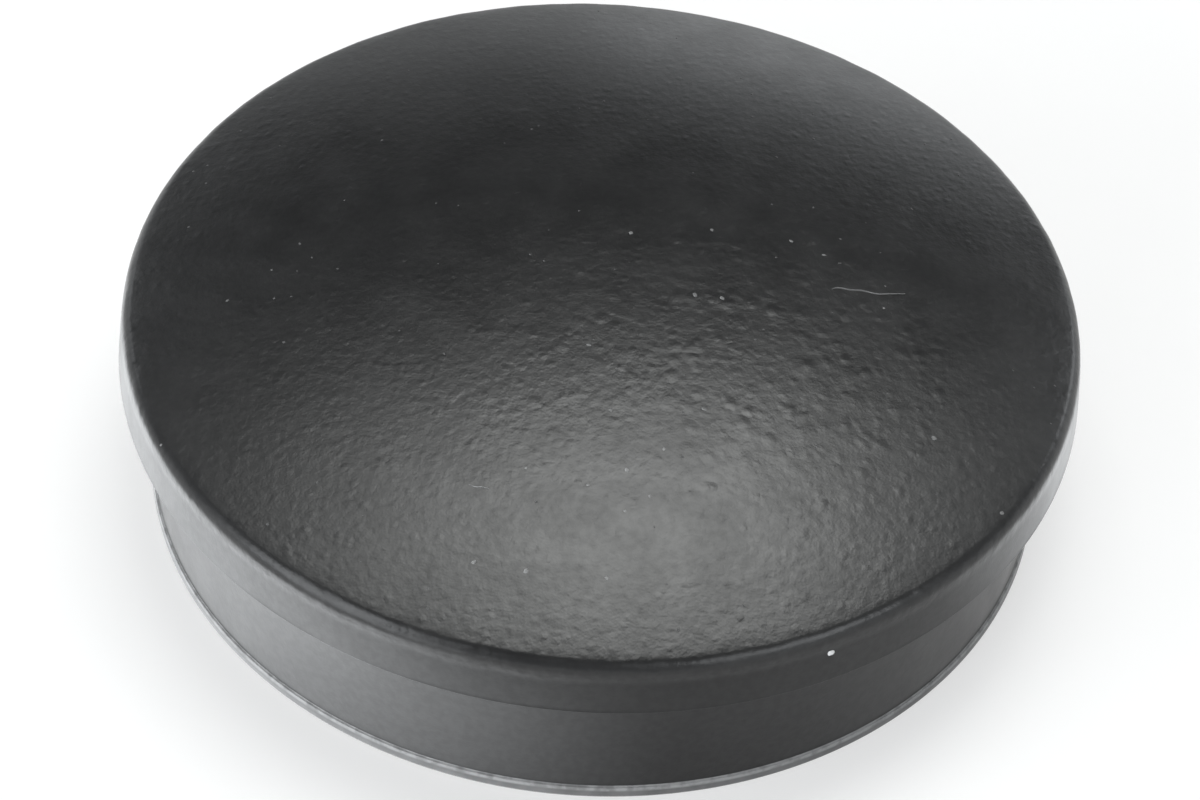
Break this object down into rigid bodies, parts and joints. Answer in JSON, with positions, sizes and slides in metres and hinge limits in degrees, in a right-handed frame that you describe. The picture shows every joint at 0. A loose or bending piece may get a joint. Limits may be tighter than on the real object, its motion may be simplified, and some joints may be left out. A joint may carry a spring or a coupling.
{
  "type": "wiper arm nut cover",
  "caption": "Round domed plug cap in satin black plastic that covers the spindle nut of a wiper arm, with a drafted lip over a hollow skirt and a snap bead at its foot.",
  "frame": {"origin": "centre of the rim at the foot of the skirt", "axes": "+Z along the axis of the cap, out of the dome; X and Y lie in the plane of the rim"},
  "size_m": [0.024, 0.024, 0.0072],
  "materials": {
    "cover": "satin black with a fine orange-peel texture"
  },
  "bodies": {
    "root": {"nut_cover": "cover"}
  },
  "joints": []
}
